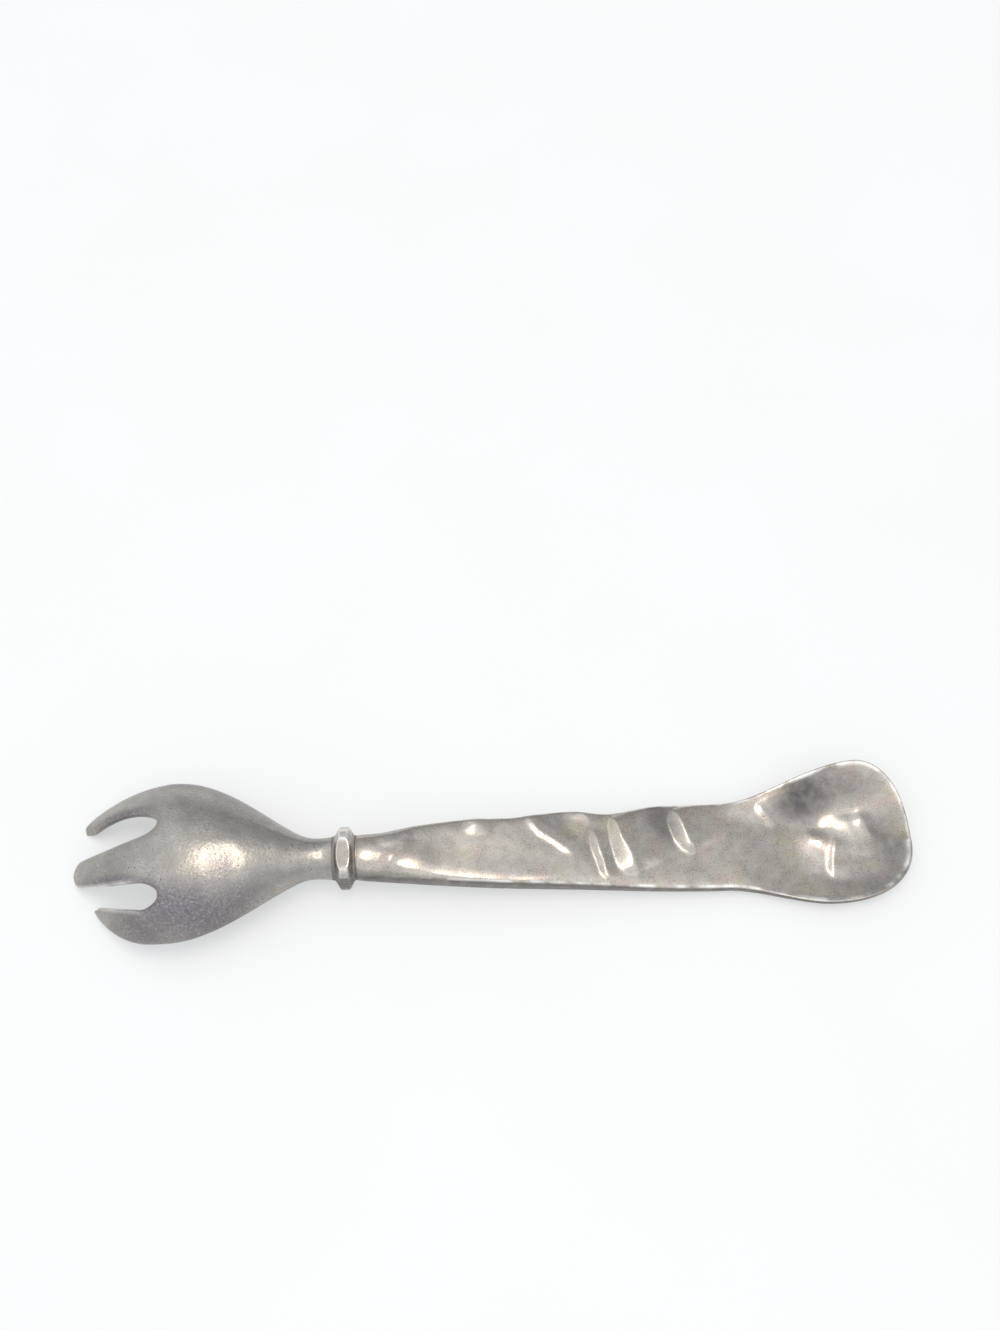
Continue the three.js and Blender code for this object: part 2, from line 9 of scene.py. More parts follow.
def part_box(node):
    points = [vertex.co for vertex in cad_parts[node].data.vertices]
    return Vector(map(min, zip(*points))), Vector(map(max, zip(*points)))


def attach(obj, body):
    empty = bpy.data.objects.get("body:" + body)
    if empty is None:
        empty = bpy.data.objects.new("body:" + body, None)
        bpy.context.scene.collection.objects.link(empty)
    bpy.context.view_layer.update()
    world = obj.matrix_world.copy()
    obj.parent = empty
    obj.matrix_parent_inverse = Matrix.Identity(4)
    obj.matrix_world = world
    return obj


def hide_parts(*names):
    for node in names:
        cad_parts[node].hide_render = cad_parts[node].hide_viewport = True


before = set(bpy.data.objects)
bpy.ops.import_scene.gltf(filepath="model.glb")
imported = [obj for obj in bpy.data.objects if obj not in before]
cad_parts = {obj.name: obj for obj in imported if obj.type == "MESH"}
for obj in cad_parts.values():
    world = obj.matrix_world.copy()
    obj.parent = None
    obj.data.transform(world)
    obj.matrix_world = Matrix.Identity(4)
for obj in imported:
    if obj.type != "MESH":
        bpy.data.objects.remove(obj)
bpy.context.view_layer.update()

# Head
# The domed bowl, its three tines, the round neck and the tang behind it are one casting in a grey tin
# alloy. It starts as a flat sheet, which is opened at the two slots, thickened and bent into the dome.
# The tang is pulled out of the end of the neck, goes through the collar and is soldered into the handle.
MM = 0.001
AXIS_SIDE = -1.2
AXIS_HEIGHT = 9.8
FIT_GAP = 0.3
CREASE_GAP = 0.05
# Faces and edges this close to a place count as lying on it
CLOSE = 0.05
NECK_RADIUS = 6.4
NECK_FLARE = 0.5
NECK_FLARE_LENGTH = 3.5
NECK_RISE_AT = 4.5
NECK_HOLLOW = 0.15
NECK_LENGTH = 7.7
BOWL_HEIGHT = 24.3
BOWL_CREST_AT = 46.5
BOWL_WIDTH = 54.4
BOWL_WIDEST_AT = 50.7
BOWL_WIDENING = 1.25
BOWL_RIM_HEIGHT = 10.2
RIM_FALL = 1.6
BOWL_EDGE_ANGLE = 40
BOWL_WALL = 3.7
RIM_WALL = 2.9
ROUND_EDGE_ANGLE = 80
SLOT_END_AT = 52.2
SLOT_ROUND = {"front_slot": 4.5, "back_slot": 3.1}
TIP_WALL = 2.8
TIP_ROUND = 2.6
TINE_EDGE_ROUNDING = 0.7
# Each slot lies between the middle tine and the slot_edge of an outer tine, at the root of the tines.
# A belly widens a tine half-way to its tip, and the waist hollows the back edge of the middle one. The skew
# is how much further the outer edge of a tine reaches than its inner one.
MIDDLE_TINE = {
    "front": -10.6,
    "back": 4.8,
    "tip_at": 82.7,
    "tip_side": -0.35,
    "tip_width": 8.7,
    "waist": 1.4,
    "belly": 1.1,
}
BACK_TINE = {
    "slot_edge": 12.4,
    "tip_at": 79.1,
    "tip_side": 17.6,
    "tip_width": 5,
    "curve": 2,
    "slimming": 1.1,
    "skew": 2.9,
    "belly": -0.6,
}
FRONT_TINE = {
    "slot_edge": 18.1,
    "tip_at": 74.7,
    "tip_side": 14,
    "tip_width": 1.6,
    "curve": 2.4,
    "slimming": 0.95,
    "skew": 0,
    "belly": 1.8,
}
TANG_RADIUS = 2.6
TANG_IN_HANDLE = 18

collar_low, collar_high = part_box("collar")
collar_at = (collar_low.x + collar_high.x) / 2 / MM
collar_half = (collar_high.x - collar_low.x) / 2 / MM
seat = collar_half + CREASE_GAP
tine_root = SLOT_END_AT + max(SLOT_ROUND.values())


def mix(low, high, part):
    return low + (high - low) * part


def share(place, start, end):
    return min(max((place - start) / (end - start), 0), 1)


def ease(place, start, end):
    part = share(place, start, end)
    return part * part * (3 - 2 * part)


def neck_radius(s):
    return NECK_RADIUS + NECK_FLARE * (1 - share(s, 0, NECK_FLARE_LENGTH)) ** 2


def crest_height(s):
    if s < BOWL_CREST_AT:
        part = share(s, NECK_RISE_AT, BOWL_CREST_AT)
        climb = (1 + NECK_HOLLOW) * part**2 / (part + NECK_HOLLOW)
        return mix(AXIS_HEIGHT + neck_radius(s), BOWL_HEIGHT, 1 - (1 - climb) ** 2)
    return mix(BOWL_HEIGHT, TIP_WALL, share(s, BOWL_CREST_AT, MIDDLE_TINE["tip_at"]) ** 2)


def head_side(s, tine):
    neck_side = neck_radius(s) * sin(radians(ROUND_EDGE_ANGLE))
    if s < BOWL_WIDEST_AT:
        widening = sin(pi / 2 * share(s, NECK_LENGTH, BOWL_WIDEST_AT)) ** BOWL_WIDENING
        return mix(neck_side, BOWL_WIDTH / 2, widening)
    toward_tip = share(s, BOWL_WIDEST_AT, tine["tip_at"])
    return mix(BOWL_WIDTH / 2, tine["tip_side"], toward_tip ** tine["curve"])


def rim_height(s, tine):
    neck_rim = AXIS_HEIGHT + neck_radius(s) * cos(radians(ROUND_EDGE_ANGLE))
    if s < BOWL_WIDEST_AT:
        return mix(neck_rim, BOWL_RIM_HEIGHT, ease(s, NECK_LENGTH, BOWL_WIDEST_AT))
    return mix(BOWL_RIM_HEIGHT, TIP_WALL, share(s, BOWL_WIDEST_AT, tine["tip_at"]) ** RIM_FALL)


def head_point(s, y, upper):
    """A point of the head at a distance s from the collar and a place y across."""
    tine = FRONT_TINE if y < 0 else BACK_TINE
    width = head_side(s, tine)
    shell = ease(s, NECK_LENGTH, BOWL_CREST_AT)
    edge = radians(mix(ROUND_EDGE_ANGLE, BOWL_EDGE_ANGLE, shell))
    arc = asin(min(max(y / width, -1), 1) * sin(edge))
    fall = (1 - cos(arc)) / (1 - cos(edge))
    crest = crest_height(s)
    rim = rim_height(s, tine)
    shift = AXIS_SIDE * (1 - ease(s, 0, BOWL_CREST_AT))
    x = collar_at - seat - s
    if upper:
        return x, y + shift, mix(crest, rim, fall)
    thin = mix(BOWL_WALL, TIP_WALL, share(s, BOWL_CREST_AT, MIDDLE_TINE["tip_at"]))
    middle_wall = mix(2 * neck_radius(s), thin, shell)
    rim_wall = mix(2 * neck_radius(s) * cos(radians(ROUND_EDGE_ANGLE)), RIM_WALL, shell)
    inset = shell * rim_wall * sin(edge)
    return x, y * (1 - inset / width) + shift, max(0, mix(crest - middle_wall, rim - rim_wall, fall))


def half_way(part):
    """1 half-way, falling to 0 at both ends."""
    return 4 * part * (1 - part)


def tine_edges(s, tine):
    """The inner and the outer edge of an outer tine, as distances from the middle line."""
    outer = head_side(s, tine)
    root_width = head_side(tine_root, tine) - tine["slot_edge"]
    toward_tip = share(s, tine_root, tine["tip_at"])
    slim = 1 - (1 - toward_tip) ** tine["slimming"]
    width = mix(root_width, tine["tip_width"], slim) + tine["belly"] * half_way(toward_tip)
    return outer - width, outer


def edit_faces(piece, is_wanted):
    """Go into edit mode with only the wanted faces selected."""
    bpy.ops.object.mode_set(mode="EDIT")
    bpy.ops.mesh.select_mode(type="FACE")
    bpy.ops.mesh.select_all(action="DESELECT")
    bpy.ops.object.mode_set(mode="OBJECT")
    for face in piece.data.polygons:
        face.select = is_wanted(face)
    bpy.ops.object.mode_set(mode="EDIT")


def edit_edges(piece, is_wanted):
    """Go into edit mode with only the wanted edges selected. An edge is given by its two ends."""
    bpy.ops.object.mode_set(mode="EDIT")
    bpy.ops.mesh.select_mode(type="EDGE")
    bpy.ops.mesh.select_all(action="DESELECT")
    bpy.ops.object.mode_set(mode="OBJECT")
    for edge in piece.data.edges:
        ends = [piece.data.vertices[corner].co for corner in edge.vertices]
        edge.select = is_wanted(*ends)
    bpy.ops.object.mode_set(mode="EDIT")


def thick_sheet(name, rows, columns, is_gap=None):
    """A grid one unit long and wide, opened at its gaps and closed to a slab one unit thick."""
    bpy.ops.object.select_all(action="DESELECT")
    bpy.ops.mesh.primitive_grid_add(x_subdivisions=rows, y_subdivisions=columns, size=1)
    sheet = bpy.context.active_object
    sheet.name = name
    if is_gap:
        edit_faces(sheet, lambda face: is_gap(face.center.x + 0.5, face.center.y + 0.5))
        bpy.ops.mesh.delete(type="FACE")
        bpy.ops.object.mode_set(mode="OBJECT")
    bpy.ops.object.mode_set(mode="EDIT")
    bpy.ops.mesh.select_all(action="SELECT")
    bpy.ops.mesh.extrude_region_move(TRANSFORM_OT_translate={"value": (0, 0, -1)})
    bpy.ops.mesh.select_all(action="SELECT")
    bpy.ops.mesh.normals_make_consistent(inside=False)
    bpy.ops.object.mode_set(mode="OBJECT")
    return sheet


def paint(piece, name, values):
    """Keep a value for each vertex, which the material of the piece reads by its name."""
    layer = piece.data.attributes.new(name, "FLOAT", "POINT")
    layer.data.foreach_set("value", values)


# Columns across the head, from front to back: tine, slot, tine, slot, tine. Each share is a place
# across its own tine or slot, and two columns close to an edge keep that edge crisp.
TINE_SHARES = (0, 0.16, 0.5, 0.84, 1)
SLOT_SHARES = (0.25, 0.5, 0.75)
MIDDLE_SHARES = (0, 0.1, 0.3, 0.5, 0.7, 0.9, 1)
BOWL_ROWS = 17
TINE_ROWS = 8
TIP_TURNS = (30, 55, 75, 88)
# Rows are closer together towards the neck, and bend to the round ends of the slots over the last part of
# the way to the roots of the tines
ROW_CROWDING = 1.2
ROW_BEND_FROM = 0.6
head_columns = (
    [("front", part) for part in TINE_SHARES]
    + [("front_slot", part) for part in SLOT_SHARES]
    + [("middle", part) for part in MIDDLE_SHARES]
    + [("back_slot", part) for part in SLOT_SHARES]
    + [("back", part) for part in TINE_SHARES]
)

lane_edges = {
    "front": (-head_side(tine_root, FRONT_TINE), -FRONT_TINE["slot_edge"]),
    "front_slot": (-FRONT_TINE["slot_edge"], MIDDLE_TINE["front"]),
    "middle": (MIDDLE_TINE["front"], MIDDLE_TINE["back"]),
    "back_slot": (MIDDLE_TINE["back"], BACK_TINE["slot_edge"]),
    "back": (BACK_TINE["slot_edge"], head_side(tine_root, BACK_TINE)),
}


def head_place(row, column):
    """Distance along and place across for one vertex of the sheet."""
    lane, part = head_columns[column]
    root = mix(*lane_edges[lane], part)
    tine = FRONT_TINE if root < 0 else BACK_TINE
    if row <= BOWL_ROWS:
        s = tine_root * (row / BOWL_ROWS) ** ROW_CROWDING
        if "slot" in lane:
            round_end = SLOT_ROUND[lane] * sqrt(1 - (2 * part - 1) ** 2)
            s -= round_end * share(s, ROW_BEND_FROM * tine_root, tine_root)
        return s, root / head_side(tine_root, tine) * head_side(s, tine)
    tip_at = MIDDLE_TINE["tip_at"] if lane == "middle" else tine["tip_at"]
    step = row - BOWL_ROWS
    narrow = 1
    if step <= TINE_ROWS:
        s = mix(tine_root, tip_at - TIP_ROUND, step / TINE_ROWS)
    else:
        turn = radians(TIP_TURNS[step - TINE_ROWS - 1])
        s = tip_at - TIP_ROUND * (1 - sin(turn))
        narrow = cos(turn)
    if lane == "middle":
        toward_tip = share(s, tine_root, tip_at)
        tip_half = MIDDLE_TINE["tip_width"] / 2
        low = mix(MIDDLE_TINE["front"], MIDDLE_TINE["tip_side"] - tip_half, toward_tip)
        high = mix(MIDDLE_TINE["back"], MIDDLE_TINE["tip_side"] + tip_half, toward_tip)
        low -= MIDDLE_TINE["belly"] * half_way(toward_tip)
        high -= MIDDLE_TINE["waist"] * half_way(toward_tip)
    else:
        inner, outer = tine_edges(s, tine)
        low, high = (-outer, -inner) if tine is FRONT_TINE else (inner, outer)
        s += tine["skew"] * (part - 0.5) * share(s, tine_root, tip_at)
    return s, mix(low, high, 0.5 + (part - 0.5) * narrow)


head_rows = BOWL_ROWS + TINE_ROWS + len(TIP_TURNS)
head_strips = len(head_columns) - 1
slot_strips = []
for strip in range(head_strips):
    if "slot" in head_columns[strip][0] or "slot" in head_columns[strip + 1][0]:
        slot_strips.append(strip)


def in_slot(along, across):
    return along * head_rows > BOWL_ROWS and int(across * head_strips) in slot_strips


# A shallow groove runs inside the bowl's front rim. The edges of the front slot are worn bright and carry a
# painted highlight, which sets in over a few rows.
RIM_GROOVE_DEPTH = 0.5
GROOVE_COLUMN = ("front", TINE_SHARES[1])
WEAR_AND_HIGHLIGHT_COLUMNS = (("front", 1), ("middle", 0))
WEAR_AND_HIGHLIGHT_ROWS = 2

head = thick_sheet("fork_head_casting", head_rows, head_strips, in_slot)
slot_wear_and_highlight = []
for vertex in head.data.vertices:
    row = round((vertex.co.x + 0.5) * head_rows)
    column = round((vertex.co.y + 0.5) * head_strips)
    upper = vertex.co.z > -0.5
    s, y = head_place(row, column)
    vertex.co = Vector(head_point(s, y, upper)) * MM
    if upper and row >= BOWL_ROWS and head_columns[column][1] in (0, 1):
        vertex.co.z -= TINE_EDGE_ROUNDING * MM
    if upper and head_columns[column] == GROOVE_COLUMN:
        vertex.co.z -= RIM_GROOVE_DEPTH * ease(s, NECK_LENGTH, BOWL_CREST_AT) * MM
    slot_wear_and_highlight.append(share(row, BOWL_ROWS, BOWL_ROWS + WEAR_AND_HIGHLIGHT_ROWS) * (head_columns[column] in WEAR_AND_HIGHLIGHT_COLUMNS))
# the bright slot edges are wear with a painted highlight on it
paint(head, "wear_and_highlight", slot_wear_and_highlight)

# The tang is drawn out of the neck's end face
neck_end = (collar_at - seat) * MM
tang_axis = (neck_end, AXIS_SIDE * MM, AXIS_HEIGHT * MM)
tang_length = (2 * seat + TANG_IN_HANDLE) * MM
edit_faces(head, lambda face: face.center.x > neck_end - CLOSE * MM)
bpy.ops.mesh.normals_make_consistent(inside=False)
bpy.ops.mesh.extrude_region_move()
tang_slimming = TANG_RADIUS / neck_radius(0)
bpy.ops.transform.resize(value=(1, tang_slimming, tang_slimming), center_override=tang_axis)
bpy.ops.mesh.extrude_region_move(TRANSFORM_OT_translate={"value": (tang_length, 0, 0)})
bpy.ops.mesh.select_all(action="SELECT")
bpy.ops.mesh.normals_make_consistent(inside=False)
bpy.ops.object.mode_set(mode="OBJECT")


def off_axis(place):
    """How far a place lies from the line through the neck, the collar and the socket."""
    return hypot(place.y - AXIS_SIDE * MM, place.z - AXIS_HEIGHT * MM)


def on_neck_end(place):
    return abs(place.x - neck_end) < CLOSE * MM and off_axis(place) > 2 * TANG_RADIUS * MM


# The end of the neck keeps a sharp edge against the collar
edit_edges(head, lambda start, end: on_neck_end(start) and on_neck_end(end))
bpy.ops.transform.edge_crease(value=1)
bpy.ops.object.mode_set(mode="OBJECT")
smoothing = head.modifiers.new("smoothing", "SUBSURF")
smoothing.levels = 2
bpy.ops.object.modifier_apply(modifier=smoothing.name)
bpy.ops.object.shade_smooth()

# The cast skin is slightly uneven, and blows have dented the dome and the neck: distance from the
# collar, place across, radius and depth
HEAD_DENTS = ((32.5, -6, 5, 0.3), (2.6, -2.4, 2, 0.16))
CAST_GRAIN = 5
CAST_GRAIN_DEPTH = 0.06
for vertex in head.data.vertices:
    s = collar_at - seat - vertex.co.x / MM
    lower = noise.noise(vertex.co / MM / CAST_GRAIN) * CAST_GRAIN_DEPTH * ease(s, 0, NECK_LENGTH)
    for at, side, radius, depth in HEAD_DENTS:
        off = hypot(s - at, vertex.co.y / MM - side) / radius
        lower += depth * exp(-(off**4)) * (vertex.co.z > AXIS_HEIGHT * MM)
    vertex.co.z -= lower * MM

# Patches of tarnish and painted shade: distance from the collar, place across, half length, half width,
# turn and strength
HEAD_TARNISH_AND_SHADE = (
    (46, -18, 19, 6.5, 5, 1.0),
    (60, -22, 10, 3.5, 12, 0.6),
    (68, -8, 13, 2, 12, 0.9),
    (65, 14.5, 11, 2.6, 4, 0.8),
    (30, -13, 9, 3, 30, 0.35),
    # painted shade that dims the middle of the dome's highlight
    (32.5, -6.5, 3.2, 3, -30, 0.7),
    # painted shade along the back rim
    (29, 16, 14, 3.4, 38, 0.45),
    # painted shade along the back rim
    (51, 25, 15, 3.2, 0, 0.45),
    (29, -16, 14, 3.4, -38, 0.5),
    (50, -25, 14, 2.8, 0, 0.4),
)


def along_across(s, y, at, side, turn):
    """Where a place lies from a mark, along its turned direction and across it."""
    cosine = cos(radians(turn))
    sine = sin(radians(turn))
    return (s - at) * cosine + (y - side) * sine, (y - side) * cosine - (s - at) * sine


def patch_strength(s, y, patches):
    """How strongly the patches cover a place, from 0 to 1."""
    bare = 1
    for at, side, long, wide, turn, strength in patches:
        along, across = along_across(s, y, at, side, turn)
        off = hypot(along / long, across / wide)
        bare *= 1 - strength * exp(-(off**3))
    return 1 - bare


head_tarnish_and_shade = []
for vertex in head.data.vertices:
    place = vertex.co / MM
    head_tarnish_and_shade.append(patch_strength(collar_at - seat - place.x, place.y, HEAD_TARNISH_AND_SHADE))
paint(head, "tarnish_and_shade", head_tarnish_and_shade)


def linear(hex_colour):
    """An sRGB hex colour as the linear colour that a socket takes."""
    parts = [int(hex_colour[k : k + 2], 16) / 255 for k in (1, 3, 5)]
    bent = [c / 12.92 if c <= 0.04045 else ((c + 0.055) / 1.055) ** 2.4 for c in parts]
    return (*bent, 1)


def add_node(tree, kind, output, inputs, **settings):
    """Add a node with its settings, set or link its inputs, and give back one of its outputs."""
    node = tree.nodes.new(kind)
    for name, value in settings.items():
        setattr(node, name, value)
    for name, value in inputs.items():
        if isinstance(value, bpy.types.NodeSocket):
            tree.links.new(value, node.inputs[name])
        else:
            node.inputs[name].default_value = value
    return node.outputs[output] if output else None


def per_metre(size):
    """The scale of a pattern whose grains are size millimetres wide."""
    return 1 / (size * MM)


def new_material(name):
    """An empty node material, and the place on the piece that its patterns follow."""
    material = bpy.data.materials.new(name)
    material.use_nodes = True
    tree = material.node_tree
    tree.nodes.clear()
    return material, tree, add_node(tree, "ShaderNodeTexCoord", "Object", {})


def mottling(tree, place, size, low, high, detail):
    """Blotches size millimetres wide, with 0 where their noise is low and 1 where it is high."""
    pattern = {"Vector": place, "Scale": per_metre(size), "Detail": detail}
    blotches = add_node(tree, "ShaderNodeTexNoise", "Fac", pattern)
    limits = {"Value": blotches, "From Min": low, "From Max": high}
    return add_node(tree, "ShaderNodeMapRange", "Result", limits)


def finish_metal(tree, colour, roughness, height, depth, dirt_and_shade=None):
    """The shader of a metal surface, with grain of a depth in millimetres, and with dull dirt and painted
    shade over it.
    """
    grain = {"Strength": 1.0, "Distance": depth * MM, "Height": height}
    normal = add_node(tree, "ShaderNodeBump", "Normal", grain)
    metal = {"Base Color": colour, "Metallic": 1.0, "Roughness": roughness, "Normal": normal}
    surface = add_node(tree, "ShaderNodeBsdfPrincipled", "BSDF", metal)
    if dirt_and_shade:
        # dull dirt, which is partly painted shade in the creases
        dull = add_node(tree, "ShaderNodeBsdfDiffuse", "BSDF", {"Color": linear("#7f7a74")})
        surface = add_node(tree, "ShaderNodeMixShader", "Shader", {0: dirt_and_shade, 1: surface, 2: dull})
    add_node(tree, "ShaderNodeOutputMaterial", None, {"Surface": surface})


def crease_dirt_and_shade(tree, place, near, far):
    """Dirt and painted shade that thin out along the fork, from the place near to the place far, in
    millimetres.
    """
    along = add_node(tree, "ShaderNodeSeparateXYZ", "X", {"Vector": place})
    limits = {"Value": along, "From Min": far * MM, "From Max": near * MM}
    fade = add_node(tree, "ShaderNodeMapRange", "Result", limits)
    crease_patches = mottling(tree, place, size=1.2, low=0.1, high=0.5, detail=4)
    return add_node(tree, "ShaderNodeMath", "Value", {0: fade, 1: crease_patches}, operation="MULTIPLY")


def cast_tin_alloy():
    # Matte grey cast metal. Dark specks and small pits cover it, and blue-violet tarnish with pale grit in
    # it lies on the side that is handled least, darkened further by painted shade in places. The grit also
    # stands in for painted glints, and the edges of the front slot carry a painted highlight with their
    # wear. Specks and grit are drawn coarser than they are, to show.
    material, tree, place = new_material("aged_cast_tin_alloy")
    clouds = mottling(tree, place, size=5, low=0.35, high=0.65, detail=5)
    grain = mottling(tree, place, size=1, low=0.2, high=0.8, detail=3)
    smooth = mottling(tree, place, size=0.5, low=0.3, high=0.7, detail=2)
    specks = add_node(tree, "ShaderNodeMapRange", "Result", {"Value": smooth, "To Min": 1.0, "To Max": 0.0})
    sheen = {"Value": smooth, "To Min": 0.36, "To Max": 0.26}
    roughness = add_node(tree, "ShaderNodeMapRange", "Result", sheen)
    tarnish_and_shade = add_node(tree, "ShaderNodeAttribute", "Fac", {}, attribute_name="tarnish_and_shade")
    blotches = mottling(tree, place, size=0.8, low=0.05, high=0.6, detail=5)
    tarnish_and_shade = add_node(tree, "ShaderNodeMath", "Value", {0: tarnish_and_shade, 1: blotches}, operation="MULTIPLY")
    pits = add_node(tree, "ShaderNodeTexVoronoi", "Distance", {"Vector": place, "Scale": per_metre(1.8)})
    pits = add_node(tree, "ShaderNodeMapRange", "Result", {"Value": pits, "From Min": 0.2, "From Max": 0.1})
    pits = add_node(tree, "ShaderNodeMath", "Value", {0: pits, 1: clouds}, operation="MULTIPLY")
    grit_and_glints = add_node(tree, "ShaderNodeTexVoronoi", "Distance", {"Vector": place, "Scale": per_metre(0.9)})
    grains = {"Value": grit_and_glints, "From Min": 0.3, "From Max": 0.15}
    grit_and_glints = add_node(tree, "ShaderNodeMapRange", "Result", grains)
    grit_and_glints = add_node(tree, "ShaderNodeMath", "Value", {0: grit_and_glints, 1: smooth}, operation="MULTIPLY")
    in_tarnish_and_shade = add_node(tree, "ShaderNodeMapRange", "Result", {"Value": tarnish_and_shade, "To Min": 0.15})
    grit_and_glints = add_node(tree, "ShaderNodeMath", "Value", {0: grit_and_glints, 1: in_tarnish_and_shade}, operation="MULTIPLY")
    wear_and_highlight = add_node(tree, "ShaderNodeAttribute", "Fac", {}, attribute_name="wear_and_highlight")
    uneven = add_node(tree, "ShaderNodeMapRange", "Result", {"Value": clouds, "To Min": 0.5})
    wear_and_highlight = add_node(tree, "ShaderNodeMath", "Value", {0: wear_and_highlight, 1: uneven}, operation="MULTIPLY")
    colour = linear("#9d9a95")
    for over, cover in (
        ("#bab5ae", clouds),
        ("#95928d", specks),
        # tarnish, with painted shade in the patches that dim the highlight and the back rim
        ("#757077", tarnish_and_shade),
        ("#74716e", pits),
        # pale grit, which also stands in for painted glints
        ("#c9c6c4", grit_and_glints),
        # painted highlight along the worn edges of the front slot
        ("#e4e2de", wear_and_highlight),
    ):
        layer = {"Factor": cover, "A": colour, "B": linear(over)}
        colour = add_node(tree, "ShaderNodeMix", "Result", layer, data_type="RGBA")
    neck = collar_at - seat
    # dirt and painted shade in the crease at the end of the neck
    finish_metal(tree, colour, roughness, grain, 0.045, crease_dirt_and_shade(tree, place, neck, neck - 0.8))
    return material


head.data.materials.append(cast_tin_alloy())
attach(head, "root")
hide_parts("fork_head")

# Collar
# A ring bead of the same alloy, turned and then filed to flats all round. It is trapped between the neck
# and the mouth of the handle, and dirt and painted shade darken the crease on each side of it.
COLLAR_CREST_RADIUS = 9.9
COLLAR_END_RADIUS = 6.9
COLLAR_BORE_RADIUS = TANG_RADIUS + FIT_GAP
# Filed flats: degrees from the top to the front, reach from the axis, and rise along the fork
COLLAR_FLATS = ((13, 8.65, 0.07), (85, 8.9, 0), (165, 8.6, 0), (237, 8.6, 0), (301, 9.3, 0))
COLLAR_SIDES = 128
COLLAR_STEPS = 40
COLLAR_TOP = 0.28
FLAT_EDGE_WIDTH = 0.3
SHARP_FROM = 30
# Dark tarnish and painted shade: degrees from the top to the front, and its half width in radians
COLLAR_TARNISH_AND_SHADE_AT = 85
COLLAR_TARNISH_AND_SHADE_WIDTH = 0.5

bpy.ops.object.select_all(action="DESELECT")
bpy.ops.mesh.primitive_circle_add(
    vertices=COLLAR_SIDES,
    radius=COLLAR_BORE_RADIUS * MM,
    location=((collar_at - collar_half) * MM, AXIS_SIDE * MM, AXIS_HEIGHT * MM),
    rotation=(0, pi / 2, 0),
)
collar = bpy.context.active_object
collar.name = "collar_bead"
bpy.ops.object.transform_apply(location=True, rotation=True, scale=True)
bpy.ops.object.mode_set(mode="EDIT")
bpy.ops.mesh.select_mode(type="EDGE")
bpy.ops.mesh.select_all(action="SELECT")
last_radius = COLLAR_BORE_RADIUS
last_along = -1
profile = [(-1, COLLAR_END_RADIUS)]
for step in range(1, COLLAR_STEPS + 1):
    along = -1 + 2 * step / COLLAR_STEPS
    profile.append((along, mix(COLLAR_CREST_RADIUS, COLLAR_END_RADIUS, ease(abs(along), COLLAR_TOP, 1))))
profile.append((1, COLLAR_BORE_RADIUS))
for along, radius in profile:
    forward = (along - last_along) * collar_half * MM
    centre = ((collar_at + along * collar_half) * MM, AXIS_SIDE * MM, AXIS_HEIGHT * MM)
    widening = radius / last_radius
    bpy.ops.mesh.extrude_region_move(TRANSFORM_OT_translate={"value": (forward, 0, 0)})
    bpy.ops.transform.resize(value=(1, widening, widening), center_override=centre)
    last_along = along
    last_radius = radius
bpy.ops.mesh.select_all(action="DESELECT")
bpy.ops.object.mode_set(mode="OBJECT")


def on_bore(place):
    return off_axis(place) < (COLLAR_BORE_RADIUS + CLOSE) * MM


edit_edges(collar, lambda start, end: on_bore(start) and on_bore(end))
bpy.ops.mesh.bridge_edge_loops()
bpy.ops.mesh.select_all(action="SELECT")
bpy.ops.mesh.normals_make_consistent(inside=False)
bpy.ops.object.mode_set(mode="OBJECT")


def flats_reach(along, turn):
    """How far the nearest flat lies from the axis, in a direction turned from the top to the front."""
    nearest = COLLAR_CREST_RADIUS
    for flat_turn, reach, rise in COLLAR_FLATS:
        facing = cos(turn - radians(flat_turn))
        if facing > 0:
            nearest = min(nearest, (reach + rise * along) / facing)
    return nearest


# File the bead down to its flats, and keep how close each place is to the edge of a flat
flat_edge_wear_and_highlight = []
for vertex in collar.data.vertices:
    side = vertex.co.y / MM - AXIS_SIDE
    height = vertex.co.z / MM - AXIS_HEIGHT
    radius = hypot(side, height)
    reach = flats_reach(vertex.co.x / MM - collar_at, atan2(-side, height))
    flat_edge_wear_and_highlight.append(exp(-(((radius - reach) / FLAT_EDGE_WIDTH) ** 2)))
    filed = min(reach / radius, 1)
    vertex.co.y = (AXIS_SIDE + side * filed) * MM
    vertex.co.z = (AXIS_HEIGHT + height * filed) * MM
bpy.ops.object.shade_smooth_by_angle(angle=radians(SHARP_FROM))
# the edges of the flats are worn bright, with a painted highlight on them
paint(collar, "wear_and_highlight", flat_edge_wear_and_highlight)


def front_tarnish_and_shade(place):
    """Dark tarnish and painted shade on the flats that face forward and down."""
    turn = atan2(AXIS_SIDE * MM - place.y, place.z - AXIS_HEIGHT * MM)
    return exp(-(((turn - radians(COLLAR_TARNISH_AND_SHADE_AT)) / COLLAR_TARNISH_AND_SHADE_WIDTH) ** 2))


# the flats facing forward and down are darkened with tarnish and painted shade
paint(collar, "tarnish_and_shade", [front_tarnish_and_shade(vertex.co) for vertex in collar.data.vertices])


